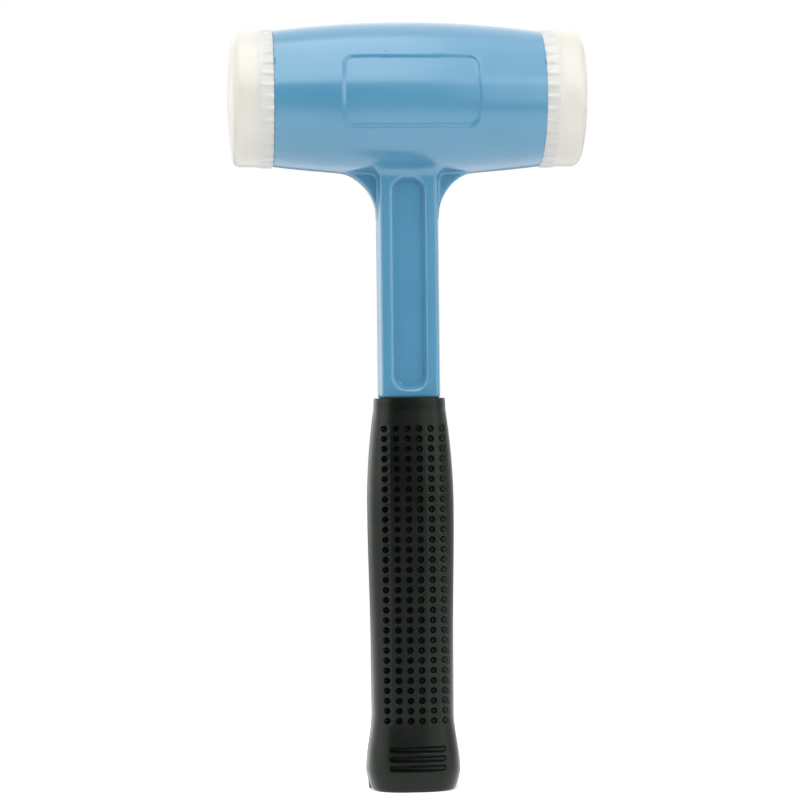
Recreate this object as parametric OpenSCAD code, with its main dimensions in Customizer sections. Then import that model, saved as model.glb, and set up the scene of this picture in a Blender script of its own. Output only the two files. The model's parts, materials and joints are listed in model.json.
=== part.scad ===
// Soft face hammer, standing on the butt of its grip with the head on top.
// The handle runs along Z, the head along X, and the front looks along -Y.

/* [Head] */
// Height of the head's axis above the butt
head_axis_z = 251.5; // [245:0.5:275]
// Length of the barrel between its two flat ends
barrel_length = 97.6; // [80:0.1:115]
// Diameter of the barrel at its middle
barrel_mid_d = 55.4; // [52:0.2:60]
// How much the barrel swells from its flat ends to its middle, on the radius
barrel_crown = 3.1; // [1:0.1:6]
// Width of the shallow panel on the front and back of the barrel
panel_w = 49.4; // [36:0.2:60]
// Height of the panel
panel_h = 26.4; // [16:0.2:32]
// Corner radius of the panel
panel_r = 4.2; // [2:0.1:6]
// Depth of the panel below the barrel's skin
panel_depth = 0.9; // [0.4:0.1:2]

/* [Shaft] */
// Width of the shaft at the parting line, half way through it
shaft_w = 23; // [20:0.1:25]
// Width of the shaft's front and back faces
shaft_face_w = 20.6; // [18:0.1:24]
// Depth of the shaft from front to back
shaft_depth = 16; // [13:0.1:20]
// Radius of the webs that run from the barrel into the shaft
web_r = 17.5; // [8:0.5:20]
// Thickness of those webs
web_t = 7; // [4:0.2:10]
// Radius of the fillets between the barrel and the sides of the shaft
neck_r = 4; // [2:0.1:6]
// Width of the long recess at the face of the shaft
recess_w = 12.3; // [8:0.1:15]
// Corner radius of the long recess at the face of the shaft
recess_r = 4.4; // [3.5:0.1:6]
// Depth of the long recess
recess_depth = 3.2; // [1:0.1:4]
// How far the wall of the recess slopes in on the way down
recess_draft = 1.9; // [0.5:0.1:2.5]
// Distance from the barrel's lowest line to the top of the recess
recess_top_gap = 1; // [0.5:0.1:6]
// Distance from the bottom of the recess to the shoulder
recess_foot = 3; // [1:0.1:8]
// Width of the tang inside the grip
tang_w = 17; // [12:0.2:19]
// Depth of the tang inside the grip
tang_depth = 10; // [7:0.2:13]
// Corner radius of the tang
tang_r = 2.5; // [1:0.1:3]

/* [Faces] */
// Height of a face from its seat on the barrel to the top of its dome
face_h = 16.4; // [15:0.1:24]
// Diameter of the smooth part of a face
face_d = 49.2; // [46:0.1:52]
// Diameter of the fluted rim of a face
rim_d = 50.2; // [48:0.1:54]
// Length of the rim at its full diameter
rim_len = 4; // [3:0.1:5]
// Length over which the rim tapers to the smooth part
rim_taper = 2.2; // [1:0.1:3]
// Open gap between the rim and the barrel's end
rim_gap = 0.3; // [0.2:0.1:1]
// Diameter of the land on the back of a face that seats on the barrel
seat_d = 42; // [30:0.5:46]
// Rounding of the edge of the striking face
edge_r = 3; // [1:0.1:4]
// Height of the dome on the striking face
dome_h = 1.6; // [0.5:0.1:3]
// Number of flutes round the rim
flute_count = 36; // [24:1:44]
// Radius of the cutter that makes a flute
flute_r = 3; // [2:0.1:5]
// Depth of a flute at the back of the rim
flute_depth = 0.55; // [0.3:0.05:0.8]
// Distance over which a flute runs out
flute_len = 5.6; // [4:0.1:8]

/* [Thread] */
// Diameter of the stud that holds a face
stud_d = 12; // [8:1:16]
// Length of the stud that stands out of the barrel
stud_out = 12; // [9:0.1:12.5]
// Length of the stud inside the barrel
stud_in = 22; // [14:1:34]
// Chamfer at both ends of the stud
stud_chamfer = 1.2; // [0.5:0.1:2]
// Depth left free past the end of the stud, at both ends
stud_room = 0.8; // [0.3:0.1:1.5]
// Clearance round the stud
stud_gap = 0.05; // [0.02:0.01:0.1]
// Diameter of the threaded insert moulded into a face
insert_d = 20; // [18:0.5:26]
// Length of the insert
insert_len = 11; // [8:0.1:11.5]
// Width of the groove that locks the insert in the face
insert_groove_w = 3; // [2:0.1:4]
// Depth of that groove
insert_groove_depth = 1.5; // [0.5:0.1:2]
// Clearance round the insert
insert_gap = 0.05; // [0.02:0.01:0.1]

/* [Grip] */
// Length of the grip from the butt to its mouth
grip_length = 142.2; // [136:0.2:160]
// Width of the grip at its mouth
mouth_w = 24.8; // [24.5:0.1:30]
// Depth of the grip at its mouth
mouth_depth = 22; // [20.5:0.1:28]
// Height of the belly, where the grip is full in the hand
belly_z = 103; // [90:0.5:115]
// Width of the grip at the belly
belly_w = 31.4; // [28:0.1:36]
// Depth of the grip at the belly
belly_depth = 27; // [24:0.1:32]
// Upper end of the waist
waist_top_z = 50; // [40:0.5:70]
// Lower end of the waist
waist_foot_z = 28; // [24:0.5:36]
// Width of the grip at the waist
waist_w = 29.9; // [26:0.1:34]
// Depth of the grip at the waist
waist_depth = 26; // [22:0.1:30]
// Height of the flare above the butt
flare_z = 7; // [6:0.1:12]
// Width of the grip at the flare
flare_w = 34.2; // [31:0.1:38]
// Depth of the grip at the flare
flare_depth = 29; // [26:0.1:32]
// How far the grip draws in from the flare to the butt, on each side
butt_draw = 2.2; // [1:0.1:4]
// Height of the lip at the mouth
lip_h = 5; // [2:0.1:6]
// How far the lip stands out
lip_out = 0.45; // [0.1:0.05:1]
// Squareness of the grip's section, where 2 is an ellipse
grip_square = 2.7; // [2:0.1:4]
// Clearance round the tang
tang_gap = 0.1; // [0.05:0.05:0.5]
// Thickness of the grip below the tang
butt_t = 16; // [10:0.5:30]
// Number of finger grooves near the butt
groove_count = 3; // [1:1:3]
// Height of the middle of the lowest groove
groove_z = 8.8; // [6:0.1:10]
// Distance from one groove to the next
groove_pitch = 3.3; // [3:0.1:4]
// Height of a groove
groove_h = 2.1; // [1:0.1:2.5]
// Length of a groove
groove_len = 20.6; // [10:0.1:22]
// Depth of a groove where the flare is deepest
groove_depth = 1.3; // [0.5:0.1:2]
// Number of columns of dimples on the front and on the back
dimple_columns = 6; // [4:1:6]
// Distance from one column of dimples to the next
dimple_pitch_x = 4.15; // [3.4:0.05:4.3]
// Distance from one row of dimples to the next
dimple_pitch_z = 3.63; // [3.4:0.01:4.5]
// Height of the lowest row of dimples
dimple_z = 25.8; // [23:0.1:32]
// Least plain length between the dimples and the mouth
dimple_top_gap = 8; // [7:0.1:20]
// Diameter of a dimple
dimple_d = 2.7; // [1.5:0.1:3]
// Depth of a dimple at its middle
dimple_depth = 1.6; // [0.4:0.1:2]

/* [Hidden] */
$fn = 96;
paint_blue = [0.36, 0.62, 0.78];
nylon_white = [0.94, 0.93, 0.89];
rubber_black = [0.13, 0.14, 0.13];
zinc_steel = [0.7, 0.71, 0.73];
insert_brass = [0.76, 0.62, 0.33];
cone_fn = 32;
over = 1;
web_sink = 0.3;
barrel_end_x = barrel_length / 2;
barrel_arc_r = (barrel_end_x * barrel_end_x + barrel_crown * barrel_crown) / (2 * barrel_crown);
recess_top_z = head_axis_z - barrel_mid_d / 2 - recess_top_gap;
recess_foot_z = grip_length + recess_foot;
recess_len = recess_top_z - recess_foot_z;
recess_mid_z = (recess_top_z + recess_foot_z) / 2;
tang_len = grip_length - butt_t;
insert_bore_d = stud_d + 2 * stud_gap;
flute_tilt = atan(flute_depth / flute_len);
edge_mid_r = face_d / 2 - edge_r;
dome_r = (edge_mid_r * edge_mid_r + dome_h * dome_h) / (2 * dome_h);
dome_mid_z = face_h - dome_r;
edge_tilt = asin(edge_mid_r / (dome_r - edge_r));
edge_mid_z = dome_mid_z + (dome_r - edge_r) * cos(edge_tilt);
groove_end_depth = section_depth(groove_len / 2, flare_w / 2, flare_depth / 2);
groove_sag = flare_depth / 2 - groove_end_depth;
groove_arc_r = (groove_len * groove_len / 4 + groove_sag * groove_sag) / (2 * groove_sag);
pattern_foot_z = dimple_z - dimple_pitch_z / 2;
dimple_rows = floor((grip_length - dimple_top_gap - pattern_foot_z) / dimple_pitch_z);
pattern_top_z = pattern_foot_z + dimple_rows * dimple_pitch_z;
pattern_share = 0.92;
lip_foot_z = grip_length - lip_h;
arc_steps = 8;
butt_steps = 5;
flare_steps = 6;
neck_steps = 2;
lip_steps = 5;
side_steps = 8;
dimple_sides = 8;

// Radius of the barrel at a distance from its middle
function barrel_radius(x) = barrel_mid_d / 2 - barrel_arc_r + sqrt(barrel_arc_r * barrel_arc_r - x * x);

// Distance of the barrel's skin from the level of its axis, beside its middle and in front of its axis
function barrel_height(x, y) = sqrt(pow(barrel_radius(x), 2) - y * y);

// Points on an arc, in the order of its two angles, from a given step
function arc(mid, r, from, to, first = 0) =
    [for (i = [first:arc_steps])
        let (a = from + (to - from) * i / arc_steps) mid + r * [cos(a), sin(a)]];

// Ease from 0 to 1 with a level start and finish
function ease(t) = (1 - cos(180 * t)) / 2;

// A size of the grip at a height, from its sizes at the mouth, belly, waist and flare
function grip_size(z, mouth, belly, waist, flare) =
    z > belly_z ? belly - (belly - mouth) * pow((z - belly_z) / (grip_length - belly_z), 2)
    : z > waist_top_z ? waist + (belly - waist) * ease((z - waist_top_z) / (belly_z - waist_top_z))
    : z > waist_foot_z ? waist
    : z > flare_z ? flare + (waist - flare) * ease((z - flare_z) / (waist_foot_z - flare_z))
    : let (drop = (flare_z - z) / flare_z) flare - butt_draw * (drop + 1 - sqrt(1 - drop * drop));

// How far the lip at the mouth stands out at a height
function lip(z) = z > lip_foot_z ? lip_out * ease((z - lip_foot_z) / lip_h) : 0;

// Half width of the grip at a height
function grip_half_w(z) = grip_size(z, mouth_w, belly_w, waist_w, flare_w) / 2 + lip(z);

// Half depth of the grip at a height
function grip_half_depth(z) = grip_size(z, mouth_depth, belly_depth, waist_depth, flare_depth) / 2 + lip(z);

// Half width of the dimpled stretch at a height, which the grip's own width limits
function pattern_half_w(z) = min(dimple_columns * dimple_pitch_x / 2, pattern_share * grip_half_w(z));

// A point on a superellipse of given half width and half depth
function section_point(half_w, half_depth, a) = [
    half_w * sign(cos(a)) * pow(abs(cos(a)), 2 / grip_square),
    half_depth * sign(sin(a)) * pow(abs(sin(a)), 2 / grip_square)
];

// Half depth of that superellipse at a distance from its middle
function section_depth(x, half_w, half_depth) =
    half_depth * pow(1 - pow(abs(x) / half_w, grip_square), 1 / grip_square);

// A point on the front of the grip's skin
function front_point(x, z) = [x, -section_depth(x, grip_half_w(z), grip_half_depth(z)), z];

// Points of the front, each followed through by its twin on the back
function both_sides(points) = [for (side = [1, -1], p = points) [side * p[0], side * p[1], p[2]]];

// One ring of the grip's skin at a height: the dimpled front, the right side, the back and the left side
function grip_ring(z) =
    let (edge_x = pattern_half_w(z), edge_angle = acos(pow(edge_x / grip_half_w(z), grip_square / 2)))
    both_sides(concat(
        [for (c = [0:dimple_columns]) front_point(edge_x * (2 * c / dimple_columns - 1), z)],
        [for (i = [1:side_steps - 1])
            let (a = edge_angle * (2 * i / side_steps - 1),
                p = section_point(grip_half_w(z), grip_half_depth(z), a))
            [p[0], p[1], z]]
    ));

// The rim of a dimple on the front, and the point at its bottom
function dimple_points(column, row) =
    let (z = dimple_z + row * dimple_pitch_z,
        x = pattern_half_w(z) * ((2 * column + 1) / dimple_columns - 1),
        r = dimple_d / 2)
    concat(
        [for (i = [0:dimple_sides - 1])
            let (a = 360 * i / dimple_sides) front_point(x + r * cos(a), z + r * sin(a))],
        [front_point(x, z) + [0, dimple_depth, 0]]
    );

// Faces of a dimpled cell, from its corners and the number of its first rim point
function dimple_faces(corners, rim) = concat(
    [for (i = [0:3])
        let (from = rim + 2 * i, to = rim + (2 * i + 2) % dimple_sides)
        each [[corners[i], from, from + 1], [corners[i], from + 1, to], [corners[i], to, corners[(i + 1) % 4]]]],
    [for (i = [0:dimple_sides - 1]) [rim + i, rim + dimple_sides, rim + (i + 1) % dimple_sides]]
);

// Turn a shape whose own axis is Z so that it points out of the left or right end of the barrel
module at_end(side) {
    translate([side * barrel_end_x, 0, head_axis_z])
        rotate([0, side * 90, 0])
            children();
}

module rounded_rect(w, h, r) {
    square([w - 2 * r, h], center = true);
    square([w, h - 2 * r], center = true);
    for (x = [-1, 1], y = [-1, 1])
        translate([x * (w / 2 - r), y * (h / 2 - r)])
            circle(r = r);
}

module stadium(length, h) {
    square([length - h, h], center = true);
    for (x = [-1, 1])
        translate([x * (length - h) / 2, 0])
            circle(d = h);
}

// Barrel turned about X, with its skin moved in by a given depth
module barrel(inset = 0) {
    translate([0, 0, head_axis_z])
        rotate([0, 90, 0])
            rotate_extrude()
                intersection() {
                    translate([barrel_mid_d / 2 - barrel_arc_r, 0])
                        circle(r = barrel_arc_r - inset, $fn = 720);
                    translate([0, -barrel_end_x])
                        square([barrel_mid_d, barrel_length]);
                }
}

// The panel's cutter: a rounded plate outside a slightly slimmer barrel
module panel_cut() {
    difference() {
        translate([0, 0, head_axis_z])
            rotate([90, 0, 0])
                linear_extrude(barrel_mid_d)
                    rounded_rect(panel_w, panel_h, panel_r);
        barrel(panel_depth);
    }
}

// The long recess in the face of the shaft, with sloping walls
module recess_cut() {
    corner_x = recess_w / 2 - recess_r;
    corner_z = recess_len / 2 - recess_r;
    slope = recess_draft / recess_depth;
    hull()
        for (x = [-1, 1], z = [-1, 1])
            translate([x * corner_x, -shaft_depth / 2 - over, recess_mid_z + z * corner_z])
                rotate([-90, 0, 0])
                    cylinder(h = recess_depth + over, r1 = recess_r + slope * over,
                        r2 = recess_r - recess_draft, $fn = cone_fn);
}

// Six sided bar: widest at the parting line
module shaft() {
    translate([0, 0, grip_length])
        linear_extrude(head_axis_z - grip_length)
            polygon([
                [-shaft_face_w / 2, -shaft_depth / 2],
                [shaft_face_w / 2, -shaft_depth / 2],
                [shaft_w / 2, 0],
                [shaft_face_w / 2, shaft_depth / 2],
                [-shaft_face_w / 2, shaft_depth / 2],
                [-shaft_w / 2, 0]
            ]);
}

// Plate under the barrel, whose two lower corners are scooped out by round cutters beside the shaft
module scooped_plate(shaft_half_w, r, t) {
    scoop_x = shaft_half_w + r;
    drop = barrel_height(scoop_x, t / 2) - web_sink + r;
    translate([0, t / 2, head_axis_z])
        rotate([90, 0, 0])
            linear_extrude(t)
                difference() {
                    translate([-scoop_x, -drop])
                        square([2 * scoop_x, drop]);
                    for (side = [-1, 1])
                        translate([side * scoop_x, -drop])
                            circle(r = r);
                }
}

module tang(gap = 0) {
    translate([0, 0, butt_t - gap])
        linear_extrude(tang_len + 2 * gap)
            rounded_rect(tang_w + 2 * gap, tang_depth + 2 * gap, tang_r + gap);
}

module body_casting() {
    color(paint_blue)
        difference() {
            union() {
                barrel();
                scooped_plate(shaft_w / 2, web_r, web_t);
                scooped_plate(shaft_face_w / 2, neck_r, shaft_depth);
                shaft();
                tang();
            }
            for (turn = [0, 180])
                rotate([0, 0, turn]) {
                    panel_cut();
                    recess_cut();
                }
            for (side = [-1, 1])
                at_end(side)
                    translate([0, 0, -stud_in - stud_room])
                        cylinder(h = stud_in + stud_room + over, d = stud_d + 2 * stud_gap);
        }
}

// The skin is a net of rings, and each cell of its front and back pattern holds one dimple
module grip_skin() {
    heights = concat(
        [for (i = [0:butt_steps - 1]) flare_z * (1 - cos(90 * i / butt_steps))],
        [for (i = [0:flare_steps - 1]) flare_z + (pattern_foot_z - flare_z) * i / flare_steps],
        [for (row = [0:dimple_rows]) pattern_foot_z + row * dimple_pitch_z],
        [for (i = [1:neck_steps]) pattern_top_z + (lip_foot_z - pattern_top_z) * i / neck_steps],
        [for (i = [1:lip_steps]) lip_foot_z + lip_h * i / lip_steps]
    );
    top_ring = len(heights) - 1;
    first_ring = butt_steps + flare_steps;
    half_ring = dimple_columns + side_steps;
    count = 2 * half_ring;
    first_rim = len(heights) * count;
    dimples = [for (row = [0:dimple_rows - 1], c = [0:dimple_columns - 1]) dimple_points(c, row)];
    points = concat(
        [for (z = heights) each grip_ring(z)],
        [for (d = dimples) each both_sides(d)]
    );
    cells = [for (ring = [0:top_ring - 1], i = [0:count - 1])
        let (a = ring * count + i, b = ring * count + (i + 1) % count,
            row = ring - first_ring, c = i % half_ring, back = floor(i / half_ring))
        each row >= 0 && row < dimple_rows && c < dimple_columns
            ? dimple_faces([b + count, a + count, a, b],
                first_rim + (2 * (row * dimple_columns + c) + back) * (dimple_sides + 1))
            : [[a, a + count, b], [b, a + count, b + count]]];
    foot = [for (i = [0:count - 1]) i];
    mouth = [for (i = [0:count - 1]) top_ring * count + count - 1 - i];
    polyhedron(points, concat([foot, mouth], cells), convexity = 6);
}

// A round ended groove whose floor follows the curve of the flare
module groove_cut(z) {
    difference() {
        translate([0, 0, z])
            rotate([90, 0, 0])
                linear_extrude(flare_depth)
                    stadium(groove_len, groove_h);
        translate([0, groove_arc_r + groove_depth - flare_depth / 2, z])
            cylinder(h = 2 * groove_h, r = groove_arc_r, center = true);
    }
}

module grip() {
    color(rubber_black)
        difference() {
            grip_skin();
            tang(tang_gap);
            for (turn = [0, 180], i = [0:groove_count - 1])
                rotate([0, 0, turn])
                    groove_cut(groove_z + i * groove_pitch);
        }
}

// Outline of the insert from its axis, grown by a given gap
module insert_outline(gap = 0) {
    groove_from = (insert_len - insert_groove_w) / 2 + gap;
    difference() {
        translate([0, -gap])
            square([insert_d / 2 + gap, insert_len + 2 * gap]);
        translate([insert_d / 2 - insert_groove_depth + gap, groove_from])
            square([insert_groove_depth + over, insert_groove_w - 2 * gap]);
    }
}

module face_outline() {
    polygon(concat(
        [
            [0, 0],
            [seat_d / 2, 0],
            [seat_d / 2, rim_gap],
            [rim_d / 2, rim_gap],
            [rim_d / 2, rim_gap + rim_len],
            [face_d / 2, rim_gap + rim_len + rim_taper]
        ],
        arc([edge_mid_r, edge_mid_z], edge_r, 0, 90 - edge_tilt),
        arc([0, dome_mid_z], dome_r, 90 - edge_tilt, 90, first = 1)
    ));
}

// Round cutters that lean outwards, so that each flute runs out along the rim
module flute_cuts() {
    for (i = [0:flute_count - 1])
        rotate([0, 0, 360 * i / flute_count])
            translate([rim_d / 2 - flute_depth + flute_r, 0, rim_gap])
                rotate([0, flute_tilt, 0])
                    translate([0, 0, -over])
                        cylinder(h = flute_len + 2 * over, r = flute_r);
}

module face(side) {
    color(nylon_white)
        at_end(side)
            difference() {
                rotate_extrude()
                    face_outline();
                rotate_extrude()
                    insert_outline(insert_gap);
                translate([0, 0, -over])
                    cylinder(h = stud_out + stud_room + over, d = insert_bore_d);
                flute_cuts();
            }
}

module insert(side) {
    color(insert_brass)
        at_end(side)
            difference() {
                rotate_extrude()
                    insert_outline();
                translate([0, 0, -over])
                    cylinder(h = insert_len + 2 * over, d = insert_bore_d);
            }
}

module stud(side) {
    color(zinc_steel)
        at_end(side)
            translate([0, 0, -stud_in])
                rotate_extrude()
                    polygon([
                        [0, 0],
                        [stud_d / 2 - stud_chamfer, 0],
                        [stud_d / 2, stud_chamfer],
                        [stud_d / 2, stud_in + stud_out - stud_chamfer],
                        [stud_d / 2 - stud_chamfer, stud_in + stud_out],
                        [0, stud_in + stud_out]
                    ]);
}

module left_face() {
    face(-1);
}

module right_face() {
    face(1);
}

module left_insert() {
    insert(-1);
}

module right_insert() {
    insert(1);
}

module left_stud() {
    stud(-1);
}

module right_stud() {
    stud(1);
}

body_casting();
grip();
left_face();
right_face();
left_insert();
right_insert();
left_stud();
right_stud();
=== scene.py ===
"""Looks of a soft face hammer that stands on the butt of its grip.

The handle runs along Z, the head along X, and the front looks along -Y. Lengths are in metres.
"""

import json
import logging
import math
from dataclasses import dataclass
from enum import Enum
from typing import Callable, Iterable

import bmesh
import bpy
from bmesh.types import BMEdge, BMesh, BMFace, BMVert
from bpy.types import ID, Material, Node, NodeSocket, NodeTree, Object
from mathutils import Matrix, Vector


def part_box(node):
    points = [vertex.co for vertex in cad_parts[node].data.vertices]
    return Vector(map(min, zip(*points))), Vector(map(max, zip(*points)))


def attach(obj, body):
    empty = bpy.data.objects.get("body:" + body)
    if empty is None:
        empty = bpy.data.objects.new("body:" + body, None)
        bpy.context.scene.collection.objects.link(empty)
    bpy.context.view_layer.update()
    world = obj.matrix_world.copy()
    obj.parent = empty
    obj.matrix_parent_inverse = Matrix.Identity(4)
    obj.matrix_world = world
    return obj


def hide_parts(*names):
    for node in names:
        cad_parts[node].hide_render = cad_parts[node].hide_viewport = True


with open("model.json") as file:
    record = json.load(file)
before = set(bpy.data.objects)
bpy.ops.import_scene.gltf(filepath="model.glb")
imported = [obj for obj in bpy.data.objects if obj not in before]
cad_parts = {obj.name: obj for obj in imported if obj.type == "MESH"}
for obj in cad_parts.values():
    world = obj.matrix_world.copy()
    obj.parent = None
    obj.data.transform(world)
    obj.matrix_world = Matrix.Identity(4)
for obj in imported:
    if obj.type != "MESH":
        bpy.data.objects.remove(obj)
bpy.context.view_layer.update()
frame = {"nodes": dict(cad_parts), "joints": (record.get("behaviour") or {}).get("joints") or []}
LOG = logging.getLogger("soft_face_hammer")
MM = 0.001
MERGE = 0.001 * MM


class Side(Enum):
    """The two ends of the head, by their direction along X."""

    LEFT = -1
    RIGHT = 1

    @property
    def word(self) -> str:
        """The word that starts the names of this end's nodes and bodies."""
        return self.name.lower()


def smooth_step(low: float, high: float, value: float) -> float:
    """An eased share: 0 where the value is at low, and 1 at high, which may be the smaller."""
    share = min(max((value - low) / (high - low), 0.0), 1.0)
    return share * share * (3 - 2 * share)


def arc(centre: tuple[float, float], radius: float, first: float, last: float,
        steps: int) -> list[tuple[float, float]]:
    """Points along an arc between two angles in degrees, in order and with both ends."""
    angles = [math.radians(first + (last - first) * i / steps) for i in range(steps + 1)]
    return [(centre[0] + radius * math.cos(a), centre[1] + radius * math.sin(a)) for a in angles]


def operator(operation: str, swapped: bool = False) -> Callable[["Value", "Value | float"], "Value"]:
    """Makes a method of Value that adds one Math node.

    Args:
        operation: the node's operation.
        swapped: whether the other operand comes first.

    Returns:
        The method.
    """
    def method(self: "Value", other: "Value | float") -> "Value":
        """Adds the node for this and another operand."""
        pair = (other, self) if swapped else (self, other)
        return self.bench.add("ShaderNodeMath", {"operation": operation}, dict(enumerate(pair)))

    return method


class Value:
    """One output of a shader node, whose operators add Math nodes."""

    __add__, __radd__ = operator("ADD"), operator("ADD", swapped=True)
    __sub__, __rsub__ = operator("SUBTRACT"), operator("SUBTRACT", swapped=True)
    __mul__, __rmul__ = operator("MULTIPLY"), operator("MULTIPLY", swapped=True)
    at_least = operator("MAXIMUM")

    def __init__(self, bench: "Bench", socket: NodeSocket) -> None:
        """Keeps the bench and the output socket."""
        self.bench = bench
        self.socket = socket

    def size(self) -> "Value":
        """This without its sign."""
        return self.bench.add("ShaderNodeMath", {"operation": "ABSOLUTE"}, {0: self})

    def band(self, low: float, high: float) -> "Value":
        """A smooth rise from 0 at low to 1 at high, or a fall where low is the larger.

        Args:
            low: the value at which the result is 0.
            high: the value at which the result is 1.

        Returns:
            The eased share.
        """
        ends = {"From Min": min(low, high), "From Max": max(low, high)}
        span = {"To Min": float(low > high), "To Max": float(low < high)}
        settings = {"interpolation_type": "SMOOTHSTEP"}
        return self.bench.add("ShaderNodeMapRange", settings, {"Value": self, **ends, **span})


class Bench:
    """A node tree under construction, with one method that adds any node."""

    def __init__(self, tree: NodeTree) -> None:
        """Keeps the tree."""
        self.tree = tree

    def add(self, kind: str, settings: dict | None = None, inputs: dict | None = None,
            output: str | int = 0) -> Value:
        """Adds a node.

        Args:
            kind: the node's type.
            settings: its properties, which are set first.
            inputs: the values or links of its sockets, by name or number.
            output: which of its outputs to return.

        Returns:
            That output.
        """
        node = self.tree.nodes.new(kind)
        for name, setting in (settings or {}).items():
            setattr(node, name, setting)
        self.feed(node, inputs or {})
        return Value(self, node.outputs[output]) if node.outputs else Value(self, node.inputs[0])

    def feed(self, node: Node, inputs: dict) -> None:
        """Sets a node's sockets to values, or links them.

        Args:
            node: the node.
            inputs: a number, colour or Value for each socket, by name or number.
        """
        for key, given in inputs.items():
            if isinstance(given, Value):
                self.tree.links.new(given.socket, node.inputs[key])
            else:
                node.inputs[key].default_value = given

    def place(self, shift: Vector | None = None) -> Value:
        """Object coordinates, which may be shifted.

        Args:
            shift: what is added to them.

        Returns:
            The coordinates.
        """
        spot = self.add("ShaderNodeTexCoord", output="Object")
        if shift is None:
            return spot
        return self.add("ShaderNodeMapping", {"vector_type": "POINT"}, {"Vector": spot, "Location": shift})

    def noise(self, spot: Value, size: float, detail: float) -> Value:
        """Soft noise from about 0.3 to 0.7, by the size of its clouds and its number of finer layers."""
        inputs = {"Vector": spot, "Scale": 1 / size, "Detail": detail, "Roughness": 0.5}
        return self.add("ShaderNodeTexNoise", {"noise_dimensions": "3D"}, inputs)

    def clouds(self, spot: Value, size: float, detail: float = 3.0,
               span: tuple[float, float] = (0.35, 0.7)) -> Value:
        """Noise whose middle span is stretched to run from 0 to 1."""
        return self.noise(spot, size, detail).band(*span)

    def specks(self, spot: Value, spacing: float, radius: float, share: float) -> Value:
        """Scattered round specks.

        Args:
            spot: where to read them.
            spacing: the size of the cells, each of which may hold one speck.
            radius: a speck's radius.
            share: the share of the cells that hold a speck.

        Returns:
            1 in a speck and 0 outside.
        """
        inputs = {"Vector": spot, "Scale": 1 / spacing}
        cell = {"voronoi_dimensions": "3D", "feature": "F1"}
        distance = self.add("ShaderNodeTexVoronoi", cell, inputs, "Distance")
        colour = self.add("ShaderNodeTexVoronoi", cell, inputs, "Color")
        draw = self.add("ShaderNodeSeparateColor", None, {"Color": colour}, "Red")
        reach, bar = radius / spacing, 1 - share
        return distance.band(reach, reach / 2) * draw.band(bar, bar + share / 10)

    def mix(self, share: Value, first: tuple | Value, second: tuple | Value) -> Value:
        """A colour between two others: the first where the share is 0, and the second where it is 1."""
        return self.add("ShaderNodeMix", {"data_type": "RGBA"}, {0: share, 6: first, 7: second}, 2)

    def bump(self, height: Value, depth: float, strength: float) -> Value:
        """A normal from a height, where a height of 1 stands for the full depth."""
        inputs = {"Height": height, "Distance": depth, "Strength": strength}
        return self.add("ShaderNodeBump", None, inputs, "Normal")

    def rays(self, kind: str) -> Value:
        """1 for rays of a kind, such as Is Camera Ray, and 0 for the rest."""
        return self.add("ShaderNodeLightPath", output=kind)

    def lit(self, strength: float) -> Value:
        """A white glow of one strength."""
        return self.add("ShaderNodeEmission", None, {"Color": grey(1), "Strength": strength})

    def blend(self, share: Value, first: Value, second: Value) -> Value:
        """A surface between two others: the first where the share is 0, and the second where it is 1."""
        return self.add("ShaderNodeMixShader", None, {0: share, 1: first, 2: second})


def rgb(red: float, green: float, blue: float) -> tuple[float, float, float, float]:
    """A linear colour with full alpha."""
    return (red, green, blue, 1.0)


def grey(level: float) -> tuple[float, float, float, float]:
    """A linear grey with full alpha."""
    return rgb(level, level, level)


@dataclass(frozen=True)
class Finish:
    """A surface finish, which makes its own material."""

    name: str
    slot: str

    def inputs(self, bench: Bench) -> dict:
        """The Principled shader's inputs. Each finish has its own."""
        raise NotImplementedError

    def material(self) -> Material:
        """Makes the material, once.

        Returns:
            The material, the same one each time.
        """
        made = bpy.data.materials.get(self.name)
        if made is None:
            made = bpy.data.materials.new(self.name)
            made.use_nodes = True
            bench = Bench(made.node_tree)
            bench.feed(made.node_tree.nodes["Principled BSDF"], self.inputs(bench))
        return made

    def dress(self, piece: Object) -> None:
        """Gives a piece this material alone."""
        piece.data.materials.clear()
        piece.data.materials.append(self.material())


@dataclass(frozen=True)
class Enamel(Finish):
    """Glossy sprayed enamel with a faint orange peel and a few specks."""

    name: str = "sprayed_blue_enamel"
    slot: str = "blue_enamel"
    thin: tuple = rgb(0.088, 0.284, 0.450)
    full: tuple = rgb(0.075, 0.262, 0.424)
    speck: tuple = rgb(0.02, 0.10, 0.18)
    gloss: float = 0.2
    ior: float = 1.6
    drift_size: float = 30 * MM
    drift_span: tuple = (0.3, 0.7)
    haze_size: float = 11 * MM
    haze_rough: float = 0.03
    peel_size: float = 2.6 * MM
    peel_depth: float = 0.03 * MM
    peel_strength: float = 0.35
    speck_gap: float = 9 * MM
    speck_r: float = 0.45 * MM
    speck_share: float = 0.1
    speck_rough: float = 0.3
    speck_pit: float = 0.6

    def inputs(self, bench: Bench) -> dict:
        """A drift of colour, specks in the coat and its orange peel.

        Args:
            bench: where the nodes go.

        Returns:
            The shader's inputs.
        """
        spot = bench.place()
        drift = bench.clouds(spot, self.drift_size, span=self.drift_span)
        dirt = bench.specks(spot, self.speck_gap, self.speck_r, self.speck_share)
        peel = bench.noise(spot, self.peel_size, 1.0)
        haze = bench.clouds(spot, self.haze_size)
        coat = bench.mix(drift, self.thin, self.full)
        return {
            "Base Color": bench.mix(dirt, coat, self.speck),
            "Roughness": self.gloss + self.haze_rough * haze + self.speck_rough * dirt,
            "Normal": bench.bump(peel - self.speck_pit * dirt, self.peel_depth, self.peel_strength),
            "IOR": self.ior,
        }


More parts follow.
